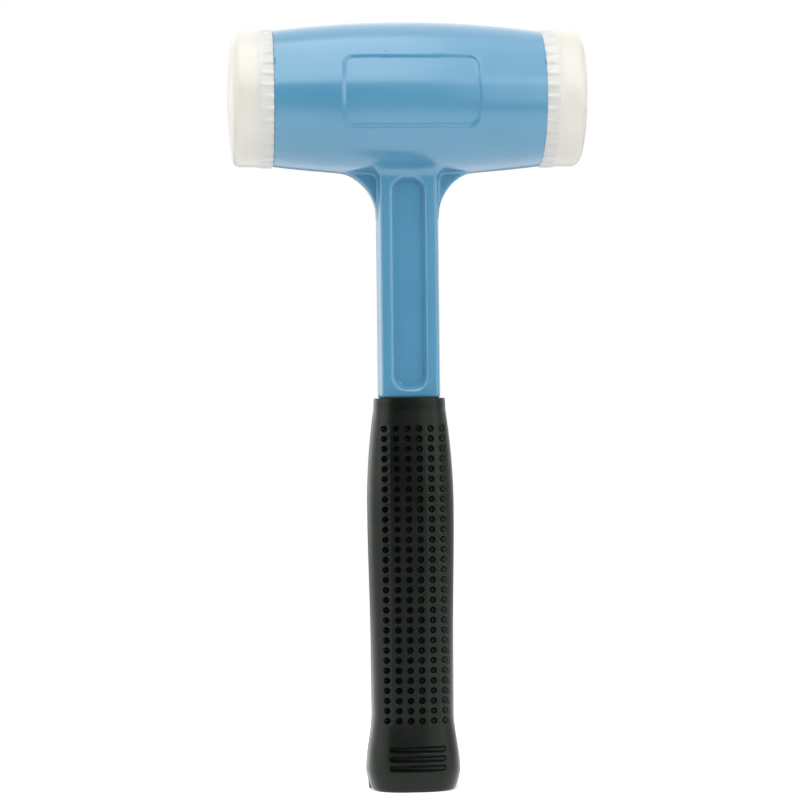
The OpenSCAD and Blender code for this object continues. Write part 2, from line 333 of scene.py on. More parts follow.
@dataclass(frozen=True)
class Nylon(Finish):
    """Natural white nylon, a little translucent and yellower in its depth."""

    name: str = "moulded_white_nylon"
    slot: str = "white_nylon"
    end_x: float = 0.0
    # Painted shade in part: the rim colour is darker than the body to stand for the shade of the flutes by
    # the barrel; its neutral hue is the nylon's own.
    rim: tuple = rgb(0.63, 0.63, 0.605)
    pale: tuple = rgb(0.70, 0.682, 0.622)
    warm: tuple = rgb(0.67, 0.648, 0.565)
    gloss: float = 0.34
    ior: float = 1.53
    cloud_size: float = 16 * MM
    satin_size: float = 5 * MM
    satin_rough: float = 0.16
    satin_swell: float = 2.0
    grain_size: float = 0.9 * MM
    grain_depth: float = 0.05 * MM
    grain_strength: float = 0.4
    rim_fade: tuple = (3 * MM, 9 * MM)
    glow: float = 0.2
    glow_colours: tuple = (1.0, 0.86, 0.6)
    glow_depth: float = 1 * MM

    def inputs(self, bench: Bench) -> dict:
        """Moulding clouds, a greyer rim, a soft satin and fine scuffs. The rim band is darker than the body
        as painted shade of the fluted rim by the barrel; its neutral hue is the nylon's own.

        Args:
            bench: where the nodes go.

        Returns:
            The shader's inputs.
        """
        spot = bench.place()
        cloud = bench.clouds(spot, self.cloud_size)
        satin = bench.noise(spot, self.satin_size, 3.0)
        grain = bench.noise(spot, self.grain_size, 3.0)
        across = bench.add("ShaderNodeSeparateXYZ", None, {"Vector": spot}, "X").size()
        # Painted shade in part: body is 0 on the rim band by the barrel, which takes the darker rim colour.
        body = across.band(*(self.end_x + fade for fade in self.rim_fade))
        return {
            "Base Color": bench.mix(body, self.rim, bench.mix(cloud, self.pale, self.warm)),
            "Roughness": self.gloss + self.satin_rough * (satin - 0.5),
            "Normal": bench.bump(grain + self.satin_swell * satin, self.grain_depth, self.grain_strength),
            "Subsurface Weight": self.glow,
            "Subsurface Radius": self.glow_colours,
            "Subsurface Scale": self.glow_depth,
            "IOR": self.ior,
        }


@dataclass(frozen=True)
class Rubber(Finish):
    """Moulded black rubber with a fine grain and a faint bloom."""

    name: str = "moulded_black_rubber"
    slot: str = "black_rubber"
    deep: tuple = rgb(0.0013, 0.0018, 0.0014)
    bloom: tuple = rgb(0.0035, 0.0040, 0.0035)
    tint: tuple = rgb(0.88, 1.0, 0.86)
    gloss: float = 0.31
    ior: float = 1.3
    cloud_size: float = 14 * MM
    cloud_detail: float = 4.0
    cloud_span: tuple = (0.3, 0.72)
    wipe_size: float = 4 * MM
    wipe_rough: float = 0.14
    grain_size: float = 0.45 * MM
    grain_depth: float = 0.05 * MM
    grain_strength: float = 0.6
    sheen: float = 0.12
    sheen_rough: float = 0.38

    def inputs(self, bench: Bench) -> dict:
        """A bloom in clouds, and the mould's grain.

        Args:
            bench: where the nodes go.

        Returns:
            The shader's inputs.
        """
        spot = bench.place()
        cloud = bench.clouds(spot, self.cloud_size, self.cloud_detail, self.cloud_span)
        wipe = bench.noise(spot, self.wipe_size, 3.0)
        grain = bench.noise(spot, self.grain_size, 2.0)
        return {
            "Base Color": bench.mix(cloud, self.deep, self.bloom),
            "Roughness": self.gloss + self.wipe_rough * (wipe - 0.5),
            "Normal": bench.bump(grain + wipe, self.grain_depth, self.grain_strength),
            "Specular Tint": self.tint,
            "Sheen Weight": self.sheen,
            "Sheen Roughness": self.sheen_rough,
            "Sheen Tint": self.tint,
            "IOR": self.ior,
        }


@dataclass(frozen=True)
class Steel(Finish):
    """Zinc plated steel, brushed by the thread's rolling."""

    name: str = "plated_stud_steel"
    slot: str = "stud_steel"
    bright: tuple = rgb(0.62, 0.63, 0.65)
    dull: tuple = grey(0.45)
    gloss: float = 0.26
    cloud_size: float = 5 * MM
    cloud_rough: float = 0.14
    scratch_size: float = 0.3 * MM
    scratch_rough: float = 0.1
    scratch_depth: float = 0.02 * MM
    scratch_strength: float = 0.4

    def inputs(self, bench: Bench) -> dict:
        """Plating clouds and fine scratches.

        Args:
            bench: where the nodes go.

        Returns:
            The shader's inputs.
        """
        spot = bench.place()
        cloud = bench.clouds(spot, self.cloud_size)
        scratch = bench.noise(spot, self.scratch_size, 2.0)
        return {
            "Base Color": bench.mix(cloud, self.bright, self.dull),
            "Metallic": 1.0,
            "Roughness": self.gloss + self.cloud_rough * cloud + self.scratch_rough * (scratch - 0.5),
            "Normal": bench.bump(scratch, self.scratch_depth, self.scratch_strength),
        }


@dataclass(frozen=True)
class Brass(Finish):
    """Turned brass with the rings of the tool about the head's axis."""

    name: str = "turned_insert_brass"
    slot: str = "insert_brass"
    axis_z: float = 0.0
    bright: tuple = rgb(0.72, 0.50, 0.20)
    dull: tuple = rgb(0.50, 0.33, 0.13)
    gloss: float = 0.24
    tarnish_size: float = 4 * MM
    tarnish_rough: float = 0.16
    ring_scale: float = 0.32 / MM
    ring_wobble: float = 0.4
    ring_depth: float = 0.03 * MM
    ring_strength: float = 0.4

    def inputs(self, bench: Bench) -> dict:
        """The turning rings, with a slight tarnish.

        Args:
            bench: where the nodes go.

        Returns:
            The shader's inputs.
        """
        spot = bench.place(Vector((0, 0, -self.axis_z)))
        tarnish = bench.clouds(spot, self.tarnish_size)
        rings = bench.add("ShaderNodeTexWave", {"wave_type": "RINGS", "rings_direction": "X"},
                          {"Vector": spot, "Scale": self.ring_scale, "Distortion": self.ring_wobble}, "Fac")
        return {
            "Base Color": bench.mix(tarnish, self.bright, self.dull),
            "Metallic": 1.0,
            "Roughness": self.gloss + self.tarnish_rough * tarnish,
            "Normal": bench.bump(rings, self.ring_depth, self.ring_strength),
        }


def linked(name: str, data: ID) -> Object:
    """Makes an object and puts it in the scene.

    Args:
        name: the object's name.
        data: its mesh, lamp or camera.

    Returns:
        The object.
    """
    thing = bpy.data.objects.new(name, data)
    bpy.context.scene.collection.objects.link(thing)
    return thing


def object_of(shape: BMesh, name: str) -> Object:
    """Makes an object of a bmesh.

    Args:
        shape: the bmesh, which is freed.
        name: the name of the object and its mesh.

    Returns:
        The object.
    """
    mesh = bpy.data.meshes.new(name)
    shape.to_mesh(mesh)
    shape.free()
    return linked(name, mesh)


def finished(shape: BMesh, name: str, finish: Finish, body: str, nodes: Iterable[str],
             crease: float) -> Object:
    """Turns a bmesh into a piece of the hammer.

    Args:
        shape: the bmesh, in place. It is freed.
        name: the piece's name.
        finish: its finish.
        body: the body that it rides on.
        nodes: the nodes that it stands for.
        crease: the angle in degrees above which an edge looks sharp.

    Returns:
        The piece.
    """
    bmesh.ops.recalc_face_normals(shape, faces=shape.faces)
    piece = object_of(shape, name)
    piece.data.shade_smooth()
    piece.data.set_sharp_from_angle(angle=math.radians(crease))
    finish.dress(piece)
    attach(piece, body)
    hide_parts(*nodes)
    LOG.info("%s: %d faces, rides on %s", name, len(piece.data.polygons), body)
    return piece


def boundary(shape: BMesh, test: Callable[[Vector], bool]) -> list[BMEdge]:
    """The open edges whose middle passes a test."""
    return [e for e in shape.edges if e.is_boundary and test((e.verts[0].co + e.verts[1].co) / 2)]


def cut_off(shape: BMesh, place: tuple, outward: tuple) -> None:
    """Cuts off what lies beyond a plane.

    Args:
        shape: the bmesh.
        place: a point of the plane.
        outward: the direction of the side that goes.
    """
    everything = [*shape.verts, *shape.edges, *shape.faces]
    bmesh.ops.bisect_plane(shape, geom=everything, dist=MERGE, plane_co=place, plane_no=outward,
                           clear_outer=True)


def drawn_on(shape: BMesh, edges: list[BMEdge],
             move: Callable[[Vector], Vector]) -> list[BMEdge]:
    """Extrudes a loop of open edges and moves its new end.

    Args:
        shape: the bmesh.
        edges: the loop.
        move: takes an old point and gives the new one.

    Returns:
        The new loop.
    """
    made = bmesh.ops.extrude_edge_only(shape, edges=edges)["geom"]
    for vert in (g for g in made if isinstance(g, BMVert)):
        vert.co = move(vert.co)
    return [g for g in made if isinstance(g, BMEdge) and g.is_boundary]


def drawn_in(share: float, z: float) -> Callable[[Vector], Vector]:
    """A move that draws points in to a share of their distance from the Z axis, at one height."""
    return lambda point: Vector((point.x * share, point.y * share, z))


def joined(first: float, second: float, fillet: float) -> float:
    """The distance from two shapes together, negative inside, with a fillet of that reach."""
    near = max(fillet - abs(first - second), 0.0) / fillet
    return min(first, second) - near * near * fillet / 4


def shared(first: float, second: float, edge: float) -> float:
    """The distance from the space that two shapes share, negative inside, with its edge rounded."""
    return -joined(-first, -second, edge)


def round_rect(x: float, z: float, half_w: float, half_h: float, radius: float) -> float:
    """The distance of a point from a rectangle with round corners, negative inside."""
    over_x, over_z = abs(x) - half_w + radius, abs(z) - half_h + radius
    return math.hypot(max(over_x, 0.0), max(over_z, 0.0)) + min(max(over_x, over_z), 0.0) - radius


def slid(outline: Callable[[float, float], float], x: float, z: float, way: float) -> tuple[float, float]:
    """Slides a point straight toward an outline.

    Args:
        outline: gives the distance of any point from the outline.
        x: the point's place across.
        z: its place up.
        way: how far it slides. A negative way leads outward.

    Returns:
        Its new places across and up.
    """
    step = 0.01 * MM
    here = outline(x, z)
    slope_x, slope_z = (outline(x + step, z) - here) / step, (outline(x, z + step) - here) / step
    return x - slope_x * way, z - slope_z * way


@dataclass
class Casting:
    """The painted casting: a barrel, its webs, the recessed shaft and the tang inside the grip.

    A snap is the share of a voxel within which a vertex is drawn to a line. A reach is how far off a surface
    a vertex may lie to be set on it.
    """

    finish: Enamel
    axis_z: float
    end_x: float
    shoulder_z: float
    node: str = "body_casting"
    crown: float = 3.1 * MM
    panel_w: float = 49.4 * MM
    panel_h: float = 26.4 * MM
    panel_r: float = 4.2 * MM
    panel_depth: float = 0.9 * MM
    panel_border: float = 1.15 * MM
    shaft_half_w: float = 11.5 * MM
    shaft_face_half_w: float = 10.3 * MM
    shaft_half_depth: float = 8 * MM
    web_r: float = 17.5 * MM
    web_half_t: float = 3.5 * MM
    web_sink: float = 0.3 * MM
    recess_half_w: float = 6.15 * MM
    recess_r: float = 5.0 * MM
    recess_depth: float = 3.2 * MM
    recess_draft: float = 1.4 * MM
    recess_top_gap: float = 1.5 * MM
    recess_foot: float = 3 * MM
    neck_fillet: float = 3.6 * MM
    web_fillet: float = 0.9 * MM
    edge: float = 0.75 * MM
    shoulder_edge: float = 1.125 * MM
    recess_edge: float = 0.7 * MM
    tang_stub: float = 5 * MM
    voxel: float = 0.62 * MM
    soft_passes: int = 3
    soft_share: float = 0.5
    line_snap: float = 0.52
    end_snap: float = 0.7
    rim_snap: float = 0.9
    barrel_reach: float = 1.2 * MM
    shaft_reach: float = 2 * MM
    shoulder_reach: float = 0.4 * MM
    panel_reach: float = 0.1 * MM
    settle_steps: int = 3
    probe: float = 0.02 * MM
    crease: float = 48.0

    def __post_init__(self) -> None:
        """Works out the barrel's curve, the web and the recess, and reads the node's box."""
        self.low, self.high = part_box(self.node)
        self.mid_r = self.high.z - self.axis_z
        self.half_r = self.mid_r / 2
        self.curve_r = (self.end_x ** 2 + self.crown ** 2) / (2 * self.crown)
        self.web_x = self.shaft_half_w + self.web_r - self.web_fillet / 4
        barrel_low = math.sqrt(self.barrel_radius(self.web_x) ** 2 - self.web_half_t ** 2)
        self.web_drop = barrel_low - self.web_sink + self.web_r
        recess_top = self.axis_z - self.mid_r - self.recess_top_gap
        recess_low = self.shoulder_z + self.recess_foot
        self.recess_mid = (recess_top + recess_low) / 2
        self.recess_half_h = (recess_top - recess_low) / 2

    def barrel_radius(self, x: float) -> float:
        """The barrel's radius at a distance from its middle."""
        return self.mid_r - self.curve_r + math.sqrt(max(self.curve_r ** 2 - x * x, 0.0))

    def outside_panel(self, x: float, z: float) -> float:
        """How far a point of the barrel's front lies outside the panel's outline."""
        return round_rect(x, z - self.axis_z, self.panel_w / 2, self.panel_h / 2, self.panel_r)

    def panel_share(self, point: Vector) -> float:
        """How deep a point lies in the panel: 0 at its outline, and 1 past its sloping border."""
        inside = -self.outside_panel(point.x, point.z)
        return min(max(inside / self.panel_border, 0.0), 1.0)

    def snap_to_panel(self, vert: BMVert) -> None:
        """Slides a vertex that is near the panel's border onto the border's outer or inner line.

        Args:
            vert: the vertex, on the barrel.
        """
        outside = self.outside_panel(vert.co.x, vert.co.z)
        for line in (0.0, -self.panel_border):
            if abs(outside - line) < self.line_snap * self.voxel:
                vert.co.x, vert.co.z = slid(self.outside_panel, vert.co.x, vert.co.z, outside - line)

    def in_panel(self, point: Vector) -> bool:
        """Tells whether a point lies in one of the two panels.

        Args:
            point: the point, on the solid.

        Returns:
            True inside a panel.
        """
        aside = abs(point.x) < self.panel_w / 2 + self.panel_reach
        level = abs(point.z - self.axis_z) < self.panel_h / 2 + self.panel_reach
        return aside and level and abs(point.y) > self.half_r

    def set_radius(self, vert: BMVert, radius: float) -> None:
        """Moves a vertex straight out from, or in to, the barrel's axis.

        Args:
            vert: the vertex.
            radius: its new distance from the axis.
        """
        rise = vert.co.z - self.axis_z
        scale = radius / math.hypot(vert.co.y, rise)
        vert.co.y *= scale
        vert.co.z = self.axis_z + rise * scale

    def even_skin(self) -> BMesh:
        """A copy of the solid with its panels filled, remade as an even mesh.

        Returns:
            The mesh.
        """
        solid = bmesh.new()
        solid.from_mesh(frame["nodes"][self.node].data)
        bmesh.ops.remove_doubles(solid, verts=solid.verts, dist=MERGE)
        for vert in solid.verts:
            if self.in_panel(vert.co):
                self.set_radius(vert, self.barrel_radius(vert.co.x))
        core = object_of(solid, "casting_core")
        mesh = core.data
        remesh = core.modifiers.new("even", "REMESH")
        remesh.mode = "VOXEL"
        remesh.voxel_size = self.voxel
        skin = bmesh.new()
        skin.from_object(core, bpy.context.evaluated_depsgraph_get())
        bpy.data.objects.remove(core)
        bpy.data.meshes.remove(mesh)
        return skin

    def outside_recess(self, x: float, z: float) -> float:
        """How far a point of the shaft's front lies outside the outline of the long recess."""
        return round_rect(x, z - self.recess_mid, self.recess_half_w, self.recess_half_h, self.recess_r)

    def recess_gap(self, point: Vector) -> float:
        """How far a point lies from the hollow of the nearer long recess.

        Args:
            point: the point.

        Returns:
            The distance, which is negative inside the hollow.
        """
        sunk = self.shaft_half_depth - abs(point.y)
        slope = self.recess_draft / self.recess_depth
        wall = (self.outside_recess(point.x, point.z) + slope * sunk) / math.hypot(1, slope)
        return max(wall, sunk - self.recess_depth)

    def snap_to_corner(self, vert: BMVert) -> None:
        """Moves a vertex that is near the foot of a recess's wall onto the line where the floor begins.

        Args:
            vert: the vertex, on the shaft.
        """
        floor_y = self.shaft_half_depth - self.recess_depth
        miss = self.outside_recess(vert.co.x, vert.co.z) + self.recess_draft
        if abs(miss) < self.line_snap * self.voxel and abs(abs(vert.co.y) - floor_y) < self.voxel:
            vert.co.x, vert.co.z = slid(self.outside_recess, vert.co.x, vert.co.z, miss)
            vert.co.y = math.copysign(floor_y, vert.co.y)

    def gap(self, point: Vector) -> float:
        """How far a point lies outside the casting, with its fillets and its rounded edges.

        Args:
            point: the point, which isn't inside the grip.

        Returns:
            The distance, which is negative inside.
        """
        x, y, rise = abs(point.x), abs(point.y), point.z - self.axis_z
        barrel = math.hypot(y, rise) - self.barrel_radius(x)
        lean = self.shaft_half_w - self.shaft_face_half_w
        side = (x - self.shaft_half_w) * self.shaft_half_depth + y * lean
        shaft = shared(side / math.hypot(lean, self.shaft_half_depth), y - self.shaft_half_depth, self.edge)
        shaft = shared(shaft, self.shoulder_z - point.z, self.shoulder_edge)
        above = rise + self.web_drop
        scoop = self.web_r - math.hypot(x - self.web_x, max(above, 0.0)) - min(above, 0.0)
        web = shared(y - self.web_half_t, max(scoop, x - self.web_x), self.edge)
        body = joined(joined(barrel, shaft, self.neck_fillet), web, self.web_fillet)
        return shared(body, -self.recess_gap(point), self.recess_edge)

    def settle(self, vert: BMVert) -> None:
        """Moves a vertex of the neck or shaft onto the casting's exact skin.

        Args:
            vert: the vertex, which is near it.
        """
        sides = Matrix.Diagonal((self.probe,) * 3)
        for _ in range(self.settle_steps):
            gap = self.gap(vert.co)
            if abs(gap) > self.shaft_reach:
                return
            slope = Vector([(self.gap(vert.co + side) - gap) / self.probe for side in sides])
            vert.co -= slope * (gap / slope.length_squared)

    def true_skin(self, skin: BMesh) -> None:
        """Brings the skin to its exact shape, with the panels sunk into the barrel.

        Args:
            skin: the mesh.
        """
        for vert in skin.verts:
            rise = vert.co.z - self.axis_z
            radius = math.hypot(vert.co.y, rise)
            full = self.barrel_radius(vert.co.x)
            if abs(vert.co.x) > self.end_x - self.end_snap * self.voxel:
                vert.co.x = math.copysign(self.end_x, vert.co.x)
                if radius > full - self.rim_snap * self.voxel:
                    self.set_radius(vert, self.barrel_radius(self.end_x))
            elif rise < -self.half_r and abs(vert.co.y) < 2 * self.shaft_half_depth:
                if vert.co.z > self.shoulder_z - self.shoulder_reach:
                    self.settle(vert)
                    self.snap_to_corner(vert)
            elif abs(radius - full) < self.barrel_reach:
                sunk = 0.0
                if abs(vert.co.y) > self.half_r:
                    self.snap_to_panel(vert)
                    sunk = self.panel_depth * self.panel_share(vert.co)
                self.set_radius(vert, self.barrel_radius(vert.co.x) - sunk)

    def plain_tang(self, skin: BMesh) -> None:
        """Replaces the hidden tang by one long band of faces of the same section.

        Args:
            skin: the mesh.
        """
        cut_z = self.shoulder_z - self.tang_stub
        cut_off(skin, (0, 0, cut_z), (0, 0, -1))
        rim = boundary(skin, lambda point: True)
        foot = drawn_on(skin, rim, drawn_in(1.0, self.low.z))
        bmesh.ops.contextual_create(skin, geom=foot)

    def build(self) -> Object:
        """Makes the casting.

        Returns:
            The piece.
        """
        skin = self.even_skin()
        for _ in range(self.soft_passes):
            bmesh.ops.smooth_vert(skin, verts=skin.verts, factor=self.soft_share, use_axis_x=True,
                                  use_axis_y=True, use_axis_z=True)
        self.true_skin(skin)
        self.plain_tang(skin)
        return finished(skin, "painted_casting", self.finish, "hammer", [self.node], self.crease)


@dataclass(frozen=True)
class Section:
    """The width and the depth of the grip at one height."""

    width: float
    depth: float

    def toward(self, other: "Section", share: float) -> "Section":
        """A section between this and another, by a share from 0 to 1."""
        return Section(self.width + (other.width - self.width) * share,
                       self.depth + (other.depth - self.depth) * share)

    def grown(self, each_side: float) -> "Section":
        """A section that is larger on each side."""
        return Section(self.width + 2 * each_side, self.depth + 2 * each_side)


@dataclass(frozen=True)
class Pit:
    """One sunk shape: a circle, or a slot that runs along a spine."""

    along: float
    height: float
    half_spine: float
    steps: tuple
    depth: float
    group: int


@dataclass
class Grip:
    """The rubber sleeve, which is modelled as a flat sheet with sunk pits and then wrapped."""

    finish: Rubber
    length: float
    node: str = "grip"
    mouth: Section = Section(24.8 * MM, 22.0 * MM)
    belly: Section = Section(31.4 * MM, 27.0 * MM)
    waist: Section = Section(29.9 * MM, 26.0 * MM)
    flare: Section = Section(34.2 * MM, 29.0 * MM)
    belly_z: float = 103 * MM
    waist_top_z: float = 50 * MM
    waist_foot_z: float = 28 * MM
    flare_z: float = 7 * MM
    butt_draw: float = 2.2 * MM
    lip_h: float = 5 * MM
    lip_out: float = 0.45 * MM
    squareness: float = 2.7
    columns: int = 6
    rows: int = 30
    column_pitch: float = 4.15 * MM
    row_pitch: float = 3.63 * MM
    first_row_z: float = 25.8 * MM
    pattern_x: float = 0.35 * MM
    dimple: tuple = ((1.34 * MM, 0.0), (1.25 * MM, 0.12 * MM), (1.1 * MM, 0.85 * MM))
    dimple_depth: float = 1.75 * MM
    grooves: int = 3
    groove_z: float = 8.84 * MM
    groove_pitch: float = 3.33 * MM
    groove_x: float = 0.7 * MM
    groove_half_spine: float = 9.25 * MM
    groove: tuple = ((1.3 * MM, 0.0), (1.16 * MM, 0.2 * MM), (0.8 * MM, 1.05 * MM))
    groove_depth: float = 1.75 * MM
    pit_fade: float = 0.024 / MM
    groove_margin: float = 0.8 * MM
    ring_points: int = 12
    ring_inset: float = 0.01 * MM
    floor_share: float = 0.2
    split: int = 3
    foot_rows: int = 10
    plain_rows: int = 5
    neck_rows: int = 4
    lip_rows: int = 8
    side_span: float = 22 * MM
    side_stops: tuple = (0.05, 0.16, 0.3, 0.45, 0.6, 0.75, 0.88)
    ridge: float = 0.14 * MM
    ridge_rise: float = 2 * MM
    seam_reach: float = 0.1 * MM
    flash_foot: float = 0.3 * MM
    flash_lean: float = 0.15
    pocket_w: float = 17.2 * MM
    pocket_depth: float = 10.2 * MM
    pocket_foot: float = 15.9 * MM
    pocket_power: int = 8
    butt_share: float = 0.94
    mouth_share: float = 0.975
    probe: float = 0.05 * MM
    crease: float = 50.0

    def __post_init__(self) -> None:
        """Works out the flat sheet's layout."""
        self.front_w = self.columns * self.column_pitch
        self.front_from = self.pattern_x - self.front_w / 2
        self.front_to = self.pattern_x + self.front_w / 2
        self.half_turn = self.front_w + self.side_span
        self.lip_foot = self.length - self.lip_h

    def section(self, z: float) -> Section:
        """The grip's section at a height.

        Args:
            z: the height above the butt.

        Returns:
            Its width and depth there, with the lip at the mouth.
        """
        if z > self.belly_z:
            share = (z - self.belly_z) / (self.length - self.belly_z)
            size = self.belly.toward(self.mouth, share * share)
        elif z > self.waist_top_z:
            share = (z - self.waist_top_z) / (self.belly_z - self.waist_top_z)
            size = self.waist.toward(self.belly, self.ease(share))
        elif z > self.waist_foot_z:
            size = self.waist
        elif z > self.flare_z:
            share = (z - self.flare_z) / (self.waist_foot_z - self.flare_z)
            size = self.flare.toward(self.waist, self.ease(share))
        else:
            fall = min((self.flare_z - z) / self.flare_z, 1.0)
            size = self.flare.grown(-self.butt_draw * (fall + 1 - math.sqrt(1 - fall * fall)) / 2)
        if z > self.lip_foot:
            size = size.grown(self.lip_out * self.ease((z - self.lip_foot) / self.lip_h))
        return size

    @staticmethod
    def ease(share: float) -> float:
        """A share with a level start and finish."""
        return (1 - math.cos(math.pi * share)) / 2

    def outline(self, along: float, z: float) -> Vector:
        """A point on the grip's plain skin.

        Args:
            along: the place on the flat sheet, measured round from the front's left edge.
            z: the height.

        Returns:
            The point.
        """
        size = self.section(z)
        half_w, half_depth = size.width / 2, size.depth / 2
        power = self.squareness
        turn, rest = divmod(along - self.front_from, self.half_turn)
        if rest <= self.front_w:
            x = self.front_from + rest
            y = -half_depth * max(1 - abs(x / half_w) ** power, 0.0) ** (1 / power)
        else:
            sweep = 2 * (rest - self.front_w) / self.side_span - 1
            edge = self.front_to if sweep < 0 else -self.front_from
            wide = math.acos(min(edge / half_w, 1.0) ** (power / 2))
            angle = math.copysign(abs(sweep) ** (power / 2), sweep) * wide
            x = half_w * math.cos(angle) ** (2 / power)
            y = half_depth * math.copysign(abs(math.sin(angle)) ** (2 / power), angle)
        way = -1 if turn % 2 else 1
        return Vector((way * x, way * y, z))

    def wrapped(self, flat: Vector) -> Vector:
        """A point of the flat sheet, wrapped round the grip.

        The pits are sunk straight back, as the mould draws them, and get shallower from one side to the
        other. Ridges stand out level.

        Args:
            flat: its place along the sheet, its height, and how far it stands off the skin.

        Returns:
            The point in space.
        """
        along, z, off = flat
        point = self.outline(along, z)
        if off < MERGE:
            turn, rest = divmod(along - self.front_from, self.half_turn)
            depth = off * (1 - self.pit_fade * (rest - self.front_w / 2))
            return point - Vector((0, -depth if turn % 2 else depth, 0))
        round_way = self.outline(along + self.probe, z) - self.outline(along - self.probe, z)
        return point + round_way.cross(Vector((0, 0, 1))).normalized() * off

    def stops_round(self) -> list[float]:
        """Places the sheet's columns: close together on the front and back, and wider on the sides.

        Returns:
            Their places along the sheet, in order round the grip.
        """
        front = self.even(0.0, self.front_w, self.columns * self.split)
        sweeps = [-1, *(-s for s in reversed(self.side_stops)), 0, *self.side_stops]
        side = [self.front_w + self.side_span * (s + 1) / 2 for s in sweeps]
        half = [self.front_from + a for a in [*front, *side]]
        return [*half, *(a + self.half_turn for a in half), self.front_from + 2 * self.half_turn]

    def stops_up(self) -> list[float]:
        """Places the sheet's rows, so that the cells of the pits lie between them.

        Returns:
            Their heights, in order from the butt to the mouth.
        """
        groove_foot = self.groove_z - self.groove_pitch / 2
        groove_top = groove_foot + self.grooves * self.groove_pitch
        dimple_foot = self.first_row_z - self.row_pitch / 2
        dimple_top = dimple_foot + self.rows * self.row_pitch
        foot = [groove_foot * self.ease(share) * 2 for share in self.even(0.0, 0.5, self.foot_rows)]
        grooved = self.even(groove_foot, groove_top, self.grooves * self.split)
        plain = self.even(groove_top, dimple_foot, self.plain_rows)
        dimpled = self.even(dimple_foot, dimple_top, self.rows * self.split)
        neck = self.even(dimple_top, self.lip_foot, self.neck_rows)
        lip = self.even(self.lip_foot, self.length, self.lip_rows)
        return [*foot, *grooved, *plain, *dimpled, *neck, *lip, self.length]

    @staticmethod
    def even(first: float, last: float, count: int) -> list[float]:
        """Even steps from the first value up to, but without, the last."""
        return [first + (last - first) * i / count for i in range(count)]

    def flat_sheet(self) -> BMesh:
        """The flat sheet, with its columns and rows at their stops.

        Returns:
            The mesh, whose third coordinate is the height off the skin.
        """
        across, up = self.stops_round(), self.stops_up()
        sheet = bmesh.new()
        bmesh.ops.create_grid(sheet, x_segments=len(across) - 1, y_segments=len(up) - 1, size=0.5)
        for vert in sheet.verts:
            column = round((vert.co.x + 0.5) * (len(across) - 1))
            row = round((vert.co.y + 0.5) * (len(up) - 1))
            vert.co = (across[column], up[row], 0.0)
        return sheet

    def pits(self) -> list[Pit]:
        """Lists every dimple and groove, on the front and the back.

        Returns:
            The pits. Cells of one group don't touch.
        """
        made = []
        for turn in (0.0, self.half_turn):
            for row in range(self.rows):
                for column in range(self.columns):
                    along = self.front_from + (column + 0.5) * self.column_pitch + turn
                    z = self.first_row_z + row * self.row_pitch
                    group = column % 2 + 2 * (row % 2)
                    made.append(Pit(along, z, 0.0, self.dimple, self.dimple_depth, group))
            for i in range(self.grooves):
                z = self.groove_z + i * self.groove_pitch
                spine = self.groove_half_spine
                made.append(Pit(self.groove_x + turn, z, spine, self.groove, self.groove_depth, i % 2))
        return made

    def faces_of(self, sheet: BMesh, pits: list[Pit]) -> list[list[BMFace]]:
        """Sorts the sheet's faces into the cells of the pits.

        Args:
            sheet: the flat sheet.
            pits: the pits.

        Returns:
            The faces of each pit's cell.
        """
        found = [[] for _ in pits]
        dimples = {}
        slots = []
        for index, pit in enumerate(pits):
            if pit.half_spine:
                slots.append(index)
            else:
                dimples[self.cell_key(pit.along, pit.height)] = index
        for face in sheet.faces:
            middle = face.calc_center_median()
            index = dimples.get(self.cell_key(middle.x, middle.y))
            if index is None:
                index = next((i for i in slots if self.in_slot(pits[i], middle)), None)
            if index is not None:
                found[index].append(face)
        return found

    def cell_key(self, along: float, z: float) -> tuple[int, int, int]:
        """Names the cell that holds a point of the sheet, where only the cells of dimples count.

        Args:
            along: the point's place along the sheet.
            z: its height.

        Returns:
            The half turn, the column and the row.
        """
        turn, rest = divmod(along - self.front_from, self.half_turn)
        row = math.floor((z - self.first_row_z) / self.row_pitch + 0.5)
        return (int(turn), math.floor(rest / self.column_pitch), row)

    def in_slot(self, pit: Pit, point: Vector) -> bool:
        """Whether a point of the sheet lies in a groove's cell."""
        near = abs(point.x - pit.along) < pit.half_spine + pit.steps[0][0] + self.groove_margin
        return near and abs(point.y - pit.height) < self.groove_pitch / 2

    def sink(self, sheet: BMesh) -> None:
        """Sinks all the pits into the flat sheet, ring by ring, in groups whose cells don't touch.

        Args:
            sheet: the flat sheet.
        """
        pits = self.pits()
        cells = self.faces_of(sheet, pits)
        for group in range(max(pit.group for pit in pits) + 1):
            members = [(pit, cell) for pit, cell in zip(pits, cells) if pit.group == group]
            faces = [face for _, cell in members for face in cell]
            for ring in range(len(self.dimple)):
                bmesh.ops.inset_region(sheet, faces=faces, thickness=self.ring_inset, depth=0.0,
                                       use_boundary=True)
                for pit, cell in members:
                    self.shape_ring(pit, cell, *pit.steps[ring])

    def shape_ring(self, pit: Pit, cell: list[BMFace], radius: float, depth: float) -> None:
        """Brings the rim of a cell to the pit's outline, and the middle of its floor to the pit's full depth.

        Args:
            pit: the pit.
            cell: its faces.
            radius: the outline's radius about the pit's spine.
            depth: the depth of this ring.
        """
        inside = set(cell)
        for vert in {v for face in cell for v in face.verts}:
            vert.co.z = -depth
            aside = vert.co.x - pit.along
            spine = min(max(aside, -pit.half_spine), pit.half_spine)
            aside -= spine
            rise = vert.co.y - pit.height
            if all(face in inside for face in vert.link_faces):
                vert.co.z = -pit.depth
                reach = min(1.0, self.floor_share * radius / max(math.hypot(aside, rise), MERGE))
                vert.co.x = pit.along + spine + aside * reach
                vert.co.y = pit.height + rise * reach
                continue
            angle = math.atan2(rise, aside)
            if not pit.half_spine:
                step = 360 / self.ring_points
                angle = math.radians(step / 2 + step * round((math.degrees(angle) - step / 2) / step))
            vert.co.x = pit.along + spine + radius * math.cos(angle)
            vert.co.y = pit.height + radius * math.sin(angle)

